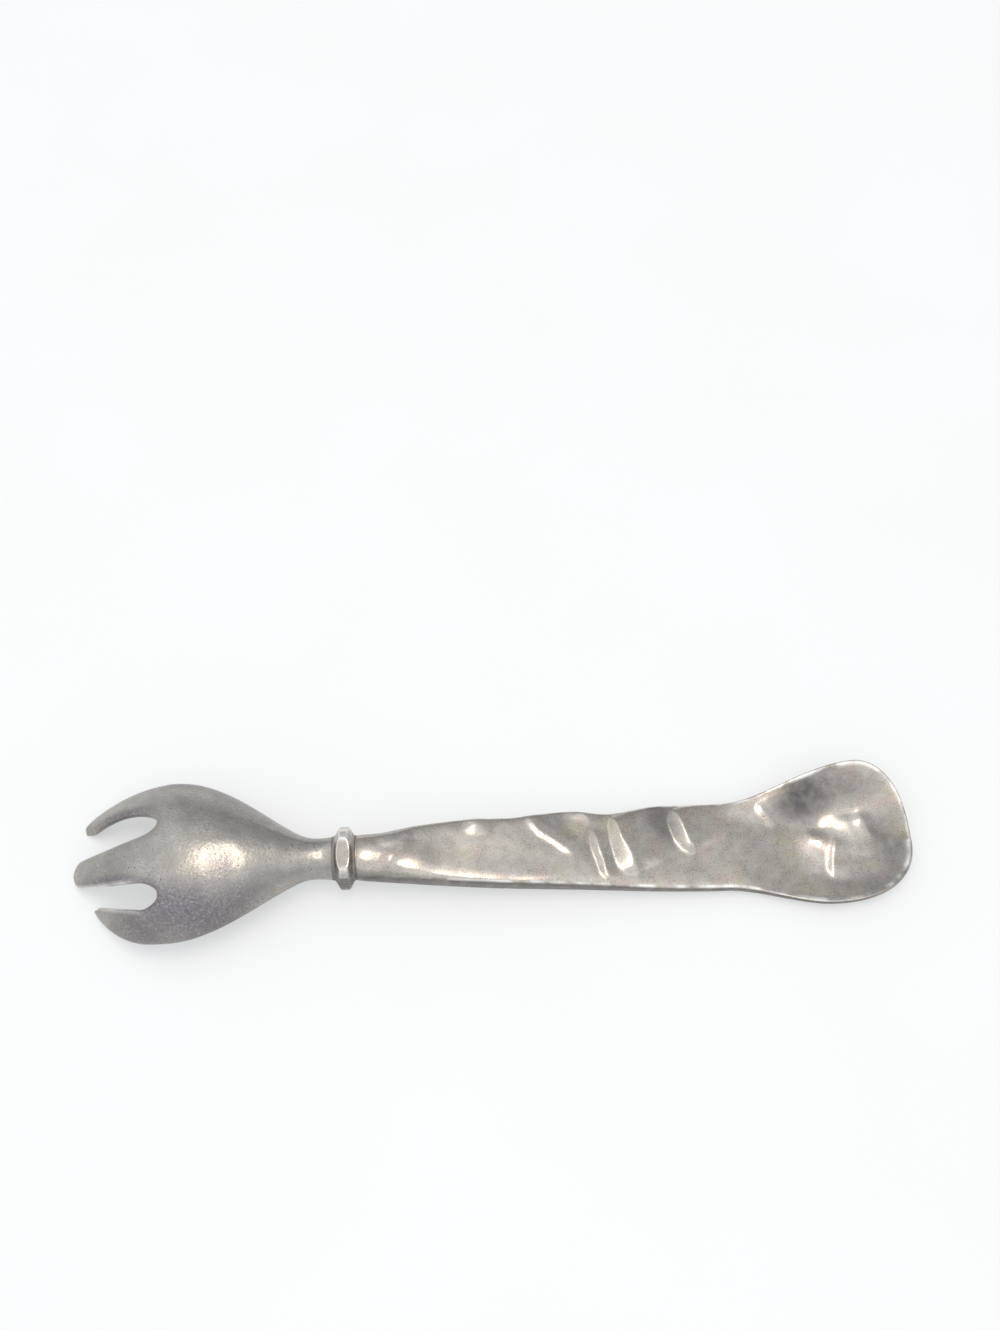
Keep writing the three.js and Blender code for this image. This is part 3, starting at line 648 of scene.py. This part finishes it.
def filed_tin_alloy():
    # The same alloy, filed smooth and worn bright on the edges of the flats, with a painted highlight along
    # them, and with dirt and painted shade in both creases and where it is tarnished
    material, tree, place = new_material("filed_tin_alloy")
    clouds = mottling(tree, place, size=2, low=0.3, high=0.7, detail=5)
    sheen = {"Value": clouds, "To Min": 0.15, "To Max": 0.24}
    roughness = add_node(tree, "ShaderNodeMapRange", "Result", sheen)
    specks = mottling(tree, place, size=0.4, low=0.5, high=0.7, detail=2)
    specks = add_node(tree, "ShaderNodeMath", "Value", {0: specks, 1: clouds}, operation="MULTIPLY")
    wear_and_highlight = add_node(tree, "ShaderNodeAttribute", "Fac", {}, attribute_name="wear_and_highlight")
    tarnish_and_shade = add_node(tree, "ShaderNodeAttribute", "Fac", {}, attribute_name="tarnish_and_shade")
    blotches = mottling(tree, place, size=0.9, low=0.2, high=0.5, detail=4)
    tarnish_and_shade = add_node(tree, "ShaderNodeMath", "Value", {0: tarnish_and_shade, 1: blotches}, operation="MULTIPLY")
    colour = linear("#b5aea6")
    # the bright edges of the flats are partly a painted highlight, and the dark tarnish is partly painted
    # shade
    for over, cover in (("#a39d96", clouds), ("#7d7874", specks), ("#e6e3de", wear_and_highlight), ("#5c5956", tarnish_and_shade)):
        layer = {"Factor": cover, "A": colour, "B": linear(over)}
        colour = add_node(tree, "ShaderNodeMix", "Result", layer, data_type="RGBA")
    dirt_and_shade = tarnish_and_shade
    # dirt and painted shade in the creases on both sides of the bead
    for crease, reach in ((collar_at - collar_half, 0.9), (collar_at + collar_half, -0.9)):
        crease_patches = crease_dirt_and_shade(tree, place, crease, crease + reach)
        dirt_and_shade = add_node(tree, "ShaderNodeMath", "Value", {0: dirt_and_shade, 1: crease_patches}, operation="MAXIMUM")
    dirt_and_shade = add_node(tree, "ShaderNodeMapRange", "Result", {"Value": dirt_and_shade, "To Max": 0.8})
    finish_metal(tree, colour, roughness, tarnish_and_shade, 0.15, dirt_and_shade)
    return material


collar.data.materials.append(filed_tin_alloy())
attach(collar, "root")
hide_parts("collar")

# Handle
# A bar of the same alloy, round at the collar and beaten flat by hand, with thumb-wide hollows, and
# spread into a shallow dish at its end. It is a sheet too, bent to the bar and dented mark by mark.
HANDLE_LENGTH = 177
MOUTH_WIDTH = 14.6
MOUTH_THICKNESS = 13
MOUTH_FILLET = 4
GRIP_WIDTH = 29.4
GRIP_WIDE_AT = 115
FLAT_AT = 45
FLAT_THICKNESS = 5.2
BAR_ARCH = 2.9
DISH_FROM = 116
DISH_WALL = 3.4
DISH_FOOT = 0.4
DISH_MIDDLE_AT = 142
DISH_BEND = 4
DISH_BACK = {"toward": 1, "side": 25.2, "widest_at": 161, "squareness": 2}
DISH_FRONT = {"toward": -1, "side": 20.8, "widest_at": 149, "squareness": 2.2}
EDGE_DENTS = (
    {"toward": 1, "at": 8, "long": 7, "deep": 0.8},
    {"toward": 1, "at": 50, "long": 11, "deep": 1.1},
    {"toward": 1, "at": 80, "long": 10, "deep": 2.4},
    {"toward": 1, "at": 112, "long": 26, "deep": 0.7},
    {"toward": -1, "at": 70, "long": 22, "deep": 0.5},
)
GRIP_FOLD_FROM = 105
# Folds that turn up the rim of the dish: a place on the fold, the direction it rises in, the rise per
# millimetre and the rounding
DISH_FOLDS = (
    (152, 4.8, 84, 0.36, 0.22),
    (158, 0, 0, 0.06, 0.6),
    (150, -12, -90, 0.25, 0.5),
)
# Hollows pressed into the top: distance from the collar, place across, length before and behind the
# deepest line, half width, depth, turn in degrees, and how flat the floor is
HOLLOWS = (
    (42, 4.6, 30, 26.5, 16.5, 0.6, 0, 5),
    (64, 10.5, 6, 6, 10, 1.4, 50, 2),
)
# Broad swells: distance from the collar, place across, length before and behind the crest, width to the
# front and to the back, height and turn in degrees
SWELLS = (
    (158, 4.5, 12, 12, 11, 6, 1.7, 0),
    (148, 0.5, 12, 5, 9, 9, 0.8, 90),
    (9.5, -2, 6, 4, 5, 5, 0.4, 0),
    (19, -3, 12, 8, 7, 7, 0.5, 0),
    (37.5, 9.5, 5.5, 4, 6, 5, 0.8, 90),
)
# Ridges pushed up by the thumb: distance from the collar, place across, length of the steep side and
# of the long side, half width, height, turn in degrees, how much wider the steep side gets to the front,
# and the rounding of its foot
RIDGES = (
    (12.3, -2, 2.6, 4, 7, 0.5, -41, 0, 0.05),
    (12.8, 3.4, 2.6, 5, 5.5, 0.4, 112, 0, 0.05),
    (56.4, 7.1, 1.2, 6, 4.5, 0.3, 30, 0, 0.05),
    (62.6, 1.9, 1.6, 7, 6.5, 0.36, 54, 0, 0.05),
    (77, -3.5, 2.2, 9, 9, 0.85, 14, 0.2, 0.05),
    (84.7, 0.5, 4.4, 26, 10.5, 2, 20, 0.5, 0.05),
    (104, 5, 4.5, 20, 8.5, 1.9, 22, 0.15, 0.05),
    (131.2, 9.8, 2, 10, 4.5, 0.5, 36, 0, 0.05),
    (146.5, 0.9, 1.4, 5, 4, 0.42, 55, 0, 0.06),
    (151.2, -5.8, 2.4, 16, 6.5, 0.75, -8, 0, 0.16),
    (162.3, 4.5, 3, 6, 4.5, 0.6, 25, 0, 0.05),
)
HOLLOW_ROUNDING = 0.05
HOLLOW_SQUARENESS = 3
CREST_ROUNDING = 0.3
# The marks wander a little, as they were made by hand: how far, over which length, and the seed that makes
# them wander the same way each time
WANDER = 0.6
WANDER_LENGTH = 6
WANDER_SEED = 5
# The rim of the dish is rolled up
RIM_ROLL = 0.6
RIM_ROLL_WIDTH = 3.2
# Beaten grain: its size and its depth, and the level at which the underside takes another part of it
BEATEN_GRAINS = ((7, 0.1), (2.6, 0.016))
UNDER_LEVEL = 40
GRAIN_SETS_IN = 3
# Cross-section: how square it is at the mouth, on top and below, how thick it is left at its edges, as a
# share of the middle, and how square the end of the dish is
MOUTH_SQUARENESS = 2.1
TOP_SQUARENESS = 7
UNDER_SQUARENESS = 3
MOUTH_EDGE = 0.03
TOP_EDGE = 0.22
UNDER_EDGE = 0.1
END_SQUARENESS = 6
SOCKET_RADIUS = 3.7
SOCKET_DEPTH = TANG_IN_HANDLE + FIT_GAP


def mouth_fillet(s):
    """From 1 to 0 over the fillet in which the bar takes up the round of the collar."""
    return (1 - share(s, 0, MOUTH_FILLET)) ** 2


def handle_side(s, edge):
    if s >= edge["widest_at"]:
        return edge["side"]
    grip = mix(MOUTH_WIDTH, GRIP_WIDTH, sin(pi / 2 * share(s, 0, GRIP_WIDE_AT))) / 2
    for dent in EDGE_DENTS:
        if dent["toward"] == edge["toward"]:
            grip -= dent["deep"] * exp(-(((s - dent["at"]) / dent["long"]) ** 2))
    grip += (COLLAR_END_RADIUS - MOUTH_WIDTH / 2) * mouth_fillet(s)
    return mix(grip, edge["side"], ease(s, DISH_FROM, edge["widest_at"]))


def handle_place(s, u):
    """Where a column u, from -1 at the front edge to 1 at the back one, crosses the row at s."""
    edge = DISH_FRONT if u < 0 else DISH_BACK
    beyond = share(s, edge["widest_at"], HANDLE_LENGTH)
    power = edge["squareness"]
    across = u * (1 - beyond**power / 2) ** (1 / power) * handle_side(s, edge)
    if beyond == 0:
        return s, across, beyond
    reach = HANDLE_LENGTH - edge["widest_at"]
    return edge["widest_at"] + reach * beyond * (1 - abs(u) ** power / 2) ** (1 / power), across, beyond


def soft_top(height, rounding):
    """The height itself where it is above zero, and next to nothing below, with a round bend between."""
    return rounding * log(1 + exp(height / rounding))


def rim_distance(s, y):
    """How far a place lies inside the edge of the handle."""
    edge = DISH_FRONT if y < 0 else DISH_BACK
    power = edge["squareness"]
    beyond = share(s, edge["widest_at"], HANDLE_LENGTH)
    return edge["side"] * (1 - ((abs(y) / handle_side(s, edge)) ** power + beyond**power) ** (1 / power))


def rim_roll(s, y):
    near = 1 - share(rim_distance(s, y), 0, RIM_ROLL_WIDTH)
    return RIM_ROLL * near**2 * ease(s, GRIP_FOLD_FROM, DISH_MIDDLE_AT)


def hollow_depth(s, y):
    """How deep the hollows reach at a place. Neighbouring hollows meet in a ridge."""
    power = HOLLOW_SQUARENESS
    total = 1
    for at, side, before, behind, wide, deep, turn, flatness in HOLLOWS:
        along, across = along_across(s, y, at, side, turn)
        long = before if along < 0 else behind
        off = (abs(along / long) ** power + abs(across / wide) ** power) ** (1 / power)
        total += exp(deep * (1 - off**flatness) / HOLLOW_ROUNDING)
    return HOLLOW_ROUNDING * log(total)


def ridge_height(s, y):
    height = 0
    for at, side, steep, long, wide, high, turn, fan, rounding in RIDGES:
        along, across = along_across(s, y, at, side, turn)
        steep = steep * (1 - fan * min(max(across / wide, -1), 1))
        slide = (hypot(along, CREST_ROUNDING) - CREST_ROUNDING) / (steep if along < 0 else long)
        rise = soft_top(high * (1 - slide - (across / wide) ** 4), rounding)
        height += rise * (1 - share(along, 0, long))
    return height


def swell_height(s, y):
    height = 0
    for at, side, before, behind, front, back, high, turn in SWELLS:
        along, across = along_across(s, y, at, side, turn)
        climb = 1 - ease(abs(along), 0, before if along < 0 else behind)
        height += high * climb * (1 - share(abs(across), 0, front if across < 0 else back) ** 2) ** 2
    return height


def dish_fold(s, y):
    height = 0
    for at, side, toward, rise, rounding in DISH_FOLDS:
        along = along_across(s, y, at, side, toward)[0]
        height += soft_top(rise * along, rounding)
    return height * ease(s, GRIP_FOLD_FROM, DISH_MIDDLE_AT)


def handle_middle(s):
    """Height of the middle of the bar, which runs straight from the collar down to the dish."""
    low = DISH_WALL / 2 - DISH_FOOT
    left = soft_top(DISH_MIDDLE_AT - s, DISH_BEND)
    return mix(low, AXIS_HEIGHT, left / DISH_MIDDLE_AT)


def handle_thickness(s):
    bar = mix(MOUTH_THICKNESS, FLAT_THICKNESS, 1 - (1 - share(s, 0, FLAT_AT)) ** 2)
    bar += (2 * COLLAR_END_RADIUS - MOUTH_THICKNESS) * mouth_fillet(s)
    return mix(bar, DISH_WALL, ease(s, DISH_FROM, DISH_MIDDLE_AT))


def bar_arch(s):
    """How far the top of the bar arches above its middle line, most of all at a third of the way."""
    part = share(s, 0, DISH_FROM)
    return BAR_ARCH * 27 / 4 * part * (1 - part) ** 2


def handle_point(s_row, u, upper):
    s, y, beyond = handle_place(s_row, u)
    flattened = ease(s, 0, FLAT_AT)
    squareness = mix(MOUTH_SQUARENESS, TOP_SQUARENESS if upper else UNDER_SQUARENESS, flattened)
    half = handle_thickness(s) / 2
    edge_bulge = mix(MOUTH_EDGE, TOP_EDGE if upper else UNDER_EDGE, flattened)
    bulge = ((1 - abs(u) ** squareness) * (1 - beyond**END_SQUARENESS)) ** (1 / squareness)
    bulge = max(edge_bulge, bulge)
    middle = handle_middle(s) + dish_fold(s, y)
    x = collar_at + seat + s
    y_shifted = y + AXIS_SIDE * (1 - ease(s, 0, GRIP_WIDE_AT))
    level = 0 if upper else UNDER_LEVEL
    grain = sum(noise.noise(Vector((s, y, level)) / size) * depth for size, depth in BEATEN_GRAINS)
    grain *= share(s, 0, GRAIN_SETS_IN)
    if not upper:
        return x, y_shifted, max(0, middle - bulge * (half + grain))
    wander = noise.noise_vector(Vector((s, y, 0)) / WANDER_LENGTH) * WANDER
    mark = (s + wander.x, y + wander.y)
    worked = ridge_height(*mark) + swell_height(*mark) - hollow_depth(*mark) + grain
    return x, y_shifted, middle + bulge * (half + bar_arch(s) + worked + rim_roll(s, y))


HANDLE_ROWS = 380
HANDLE_STRIPS = 56
handle = thick_sheet("handle_bar", HANDLE_ROWS, HANDLE_STRIPS)
noise.seed_set(WANDER_SEED)
for vertex in handle.data.vertices:
    along = vertex.co.x + 0.5
    u = sin(pi * vertex.co.y)
    vertex.co = Vector(handle_point(HANDLE_LENGTH * along, u, vertex.co.z > -0.5)) * MM
mouth_at = (collar_at + seat) * MM
edit_faces(handle, lambda face: face.center.x < mouth_at + CLOSE * MM)
bpy.ops.mesh.extrude_region_move()
socket_axis = (mouth_at, AXIS_SIDE * MM, AXIS_HEIGHT * MM)
socket_slimming = SOCKET_RADIUS / COLLAR_END_RADIUS
bpy.ops.transform.resize(value=(1, socket_slimming, socket_slimming), center_override=socket_axis)
bpy.ops.mesh.extrude_region_move(TRANSFORM_OT_translate={"value": (SOCKET_DEPTH * MM, 0, 0)})
bpy.ops.mesh.select_all(action="SELECT")
bpy.ops.mesh.normals_make_consistent(inside=False)
bpy.ops.object.mode_set(mode="OBJECT")
bpy.ops.object.shade_smooth()

# Patches of dark tarnish, which has gathered in the hollows and below. Their rows are laid out as for the
# head.
HANDLE_TARNISH = (
    (62, 9, 5, 8, 40, 0.12),
    (72, 1, 4, 9, 15, 0.2),
    (97, 8, 5, 9, 20, 0.6),
    (143.5, 15, 11, 9, 25, 1),
    (158, 18, 11, 6, -8, 0.6),
    (170, -2, 7, 12, 0, 0.6),
    (159, -15, 11, 4, 0, 0.35),
)
UNDER_TARNISH = (
    (30, 0, 30, 9, 0, 0.35),
    (85, 3, 26, 10, 4, 0.25),
    (140, -6, 16, 9, -20, 0.35),
)
# The rim is worn bright a little inside its edge, with a painted highlight along it, and painted shade
# darkens the sides below it. The two limits say how much a face looks up or down where the side ends, and
# where the top or the underside is reached.
RIM_WEAR_AND_HIGHLIGHT_AT = 0.9
RIM_WEAR_AND_HIGHLIGHT_WIDTH = 0.6
SIDE_SHADE = 0.85
SIDE_UP_TO = 0.25
FLAT_FROM = 0.8


# the worn rim, painted bright as a highlight
def rim_wear_and_highlight(s, y):
    return exp(-(((rim_distance(s, y) - RIM_WEAR_AND_HIGHLIGHT_AT) / RIM_WEAR_AND_HIGHLIGHT_WIDTH) ** 2))


handle_tarnish_and_shade = []
handle_wear_and_highlight = []
for vertex in handle.data.vertices:
    place = vertex.co / MM
    s = place.x - collar_at - seat
    y = place.y - AXIS_SIDE * (1 - ease(s, 0, GRIP_WIDE_AT))
    flat = ease(abs(vertex.normal.z), SIDE_UP_TO, FLAT_FROM)
    upper = vertex.normal.z > 0
    stains = patch_strength(s, y, HANDLE_TARNISH if upper else UNDER_TARNISH)
    # painted shade on the sides of the bar, over the patches of tarnish
    handle_tarnish_and_shade.append(max(stains, SIDE_SHADE * (1 - flat)))
    # painted highlight along the worn rim
    handle_wear_and_highlight.append(rim_wear_and_highlight(s, y) * flat * upper)
paint(handle, "tarnish_and_shade", handle_tarnish_and_shade)
paint(handle, "wear_and_highlight", handle_wear_and_highlight)


def beaten_tin_alloy():
    # The same alloy, beaten and worn to a warm satin. Faint pink and yellow stains, dark specks and a few
    # fine cracks lie on it, with dark tarnish in the hollows and painted shade on the sides, and the rim is
    # worn bright, with a painted highlight along it. Dirt and painted shade darken the crease at the mouth.
    # The specks are drawn coarser than they are, to show.
    material, tree, place = new_material("beaten_tin_alloy")
    clouds = mottling(tree, place, size=4, low=0.3, high=0.7, detail=6)
    sheen = {"Value": clouds, "To Min": 0.17, "To Max": 0.28}
    roughness = add_node(tree, "ShaderNodeMapRange", "Result", sheen)
    pink = mottling(tree, place, size=8, low=0.52, high=0.68, detail=3)
    yellow = mottling(tree, place, size=11, low=0.54, high=0.68, detail=3)
    grain = mottling(tree, place, size=0.4, low=0.46, high=0.72, detail=2)
    uneven = add_node(tree, "ShaderNodeMapRange", "Result", {"Value": clouds, "To Min": 0.25})
    specks = add_node(tree, "ShaderNodeMath", "Value", {0: grain, 1: uneven}, operation="MULTIPLY")
    tarnish_and_shade = add_node(tree, "ShaderNodeAttribute", "Fac", {}, attribute_name="tarnish_and_shade")
    blotches = mottling(tree, place, size=3.3, low=-0.5, high=0.6, detail=8)
    tarnish_and_shade = add_node(tree, "ShaderNodeMath", "Value", {0: tarnish_and_shade, 1: blotches}, operation="MULTIPLY")
    wear_and_highlight = add_node(tree, "ShaderNodeAttribute", "Fac", {}, attribute_name="wear_and_highlight")
    rubbed = mottling(tree, place, size=7, low=0.42, high=0.6, detail=5)
    wear_and_highlight = add_node(tree, "ShaderNodeMath", "Value", {0: wear_and_highlight, 1: rubbed}, operation="MULTIPLY")
    # Cracks run between cells 13 mm wide, whose edges are bent by up to 3 mm
    ripples = {"Vector": place, "Scale": per_metre(4), "Detail": 3}
    offset = {"Vector": add_node(tree, "ShaderNodeTexNoise", "Color", ripples), "Scale": 3 * MM}
    offset = add_node(tree, "ShaderNodeVectorMath", "Vector", offset, operation="SCALE")
    bent = add_node(tree, "ShaderNodeVectorMath", "Vector", {0: place, 1: offset}, operation="ADD")
    cells = {"Vector": bent, "Scale": per_metre(13)}
    cell_edge = add_node(tree, "ShaderNodeTexVoronoi", "Distance", cells, feature="DISTANCE_TO_EDGE")
    thin = {"Value": cell_edge, "From Min": 0.012, "From Max": 0.004}
    cracks = add_node(tree, "ShaderNodeMapRange", "Result", thin)
    cracks = add_node(tree, "ShaderNodeMath", "Value", {0: cracks, 1: pink}, operation="MULTIPLY")
    colour = linear("#c3beb6")
    for over, cover in (
        ("#aca7a0", clouds),
        ("#bfb2aa", pink),
        ("#beb8a6", yellow),
        ("#7f7b76", specks),
        # tarnish, and painted shade on the sides of the bar
        ("#5c5a5b", tarnish_and_shade),
        ("#a09992", cracks),
        # painted highlight along the worn rim
        ("#f0eeea", wear_and_highlight),
    ):
        layer = {"Factor": cover, "A": colour, "B": linear(over)}
        colour = add_node(tree, "ShaderNodeMix", "Result", layer, data_type="RGBA")
    mouth = collar_at + seat
    # dirt and painted shade in the crease at the mouth
    finish_metal(tree, colour, roughness, grain, 0.006, crease_dirt_and_shade(tree, place, mouth, mouth + 0.8))
    return material


handle.data.materials.append(beaten_tin_alloy())
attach(handle, "root")
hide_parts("handle")

# Solder
# A sleeve of grey solder, run hot into the socket of the handle round the tang. It holds the other pieces
# together and doesn't show. Its solid is taken over from the drawing of the part.
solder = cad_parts["tang_solder"]


def grey_solder():
    # Dull grey metal with a slightly uneven, frosted skin
    material, tree, place = new_material("grey_solder")
    frost = mottling(tree, place, size=0.8, low=0.35, high=0.65, detail=3)
    sheen = {"Value": frost, "To Min": 0.45, "To Max": 0.6}
    roughness = add_node(tree, "ShaderNodeMapRange", "Result", sheen)
    layer = {"Factor": frost, "A": linear("#8b8a87"), "B": linear("#9a9995")}
    colour = add_node(tree, "ShaderNodeMix", "Result", layer, data_type="RGBA")
    finish_metal(tree, colour, roughness, frost, 0.01)
    return material


solder.data.materials.clear()
solder.data.materials.append(grey_solder())

# Table, light and camera
# The fork lies on a plain white light table, under a long soft lamp, in a room that is brightest overhead
# and dim at the far right. The camera looks down steeply from the front.
TABLE_SIZE = 3000
bpy.ops.object.select_all(action="DESELECT")
bpy.ops.mesh.primitive_plane_add(size=TABLE_SIZE * MM)
table = bpy.context.active_object
table.name = "table"


def white_board():
    # Matte white board, lit from below like a light table, which keeps the shadows on it pale
    material, tree, place = new_material("white_board")
    tones = mottling(tree, place, size=80, low=0.3, high=0.7, detail=2)
    layer = {"Factor": tones, "A": linear("#b1b2b3"), "B": linear("#afb0b0")}
    colour = add_node(tree, "ShaderNodeMix", "Result", layer, data_type="RGBA")
    board = {
        "Base Color": colour,
        "Roughness": 0.6,
        "Emission Color": linear("#fcfdfd"),
        "Emission Strength": 0.45,
    }
    surface = add_node(tree, "ShaderNodeBsdfPrincipled", "BSDF", board)
    add_node(tree, "ShaderNodeOutputMaterial", None, {"Surface": surface})
    return material


table.data.materials.append(white_board())

LAMP_AT = (0, 10, 1000)
LAMP_WIDTH = 120
LAMP_DEPTH = 520
LAMP_POWER = 1.7
lamp_data = bpy.data.lights.new("soft_lamp", "AREA")
lamp_data.shape = "RECTANGLE"
lamp_data.size = LAMP_WIDTH * MM
lamp_data.size_y = LAMP_DEPTH * MM
lamp_data.energy = LAMP_POWER
lamp_data.color = linear("#fff1de")[:3]
lamp = bpy.data.objects.new("soft_lamp", lamp_data)
lamp.location = Vector(LAMP_AT) * MM
bpy.context.scene.collection.objects.link(lamp)

FAR_RIGHT = (0.75, 0.66, 0)
world = bpy.data.worlds.new("room")
world.use_nodes = True
tree = world.node_tree
tree.nodes.clear()
# Light from the room falls off to the far right, and from overhead down to the horizon
direction = add_node(tree, "ShaderNodeTexCoord", "Generated", {})
toward = {0: direction, 1: FAR_RIGHT}
far_right = add_node(tree, "ShaderNodeVectorMath", "Value", toward, operation="DOT_PRODUCT")
limits = {"Value": far_right, "From Min": 0.3, "From Max": 0.54, "To Min": 1.26, "To Max": 0.76}
across = add_node(tree, "ShaderNodeMapRange", "Result", limits)
upward = add_node(tree, "ShaderNodeSeparateXYZ", "Z", {"Vector": direction})
limits = {"Value": upward, "From Max": 0.75, "To Min": 0.62}
overhead = add_node(tree, "ShaderNodeMapRange", "Result", limits)
strength = add_node(tree, "ShaderNodeMath", "Value", {0: across, 1: overhead}, operation="MULTIPLY")
light = {"Color": linear("#fafcff"), "Strength": strength}
background = add_node(tree, "ShaderNodeBackground", "Background", light)
add_node(tree, "ShaderNodeOutputWorld", None, {"Surface": background})
bpy.context.scene.world = world
bpy.context.scene.view_settings.view_transform = "Standard"

CAMERA_AT = (-8.6, -169.2, 419.1)
CAMERA_AIM = (4.7, 71.8, 0)
CAMERA_ROLL = 0.56
CAMERA_SENSOR = 36
CAMERA_LENS = 37.9
camera_data = bpy.data.cameras.new("camera")
camera_data.sensor_width = CAMERA_SENSOR
camera_data.lens = CAMERA_LENS
camera = bpy.data.objects.new("camera", camera_data)
camera.location = Vector(CAMERA_AT) * MM
look = Vector(CAMERA_AIM) - Vector(CAMERA_AT)
camera.rotation_euler = look.to_track_quat("-Z", "Y").to_euler()
camera.rotation_euler.rotate_axis("Z", radians(CAMERA_ROLL))
bpy.context.scene.collection.objects.link(camera)
bpy.context.scene.camera = camera
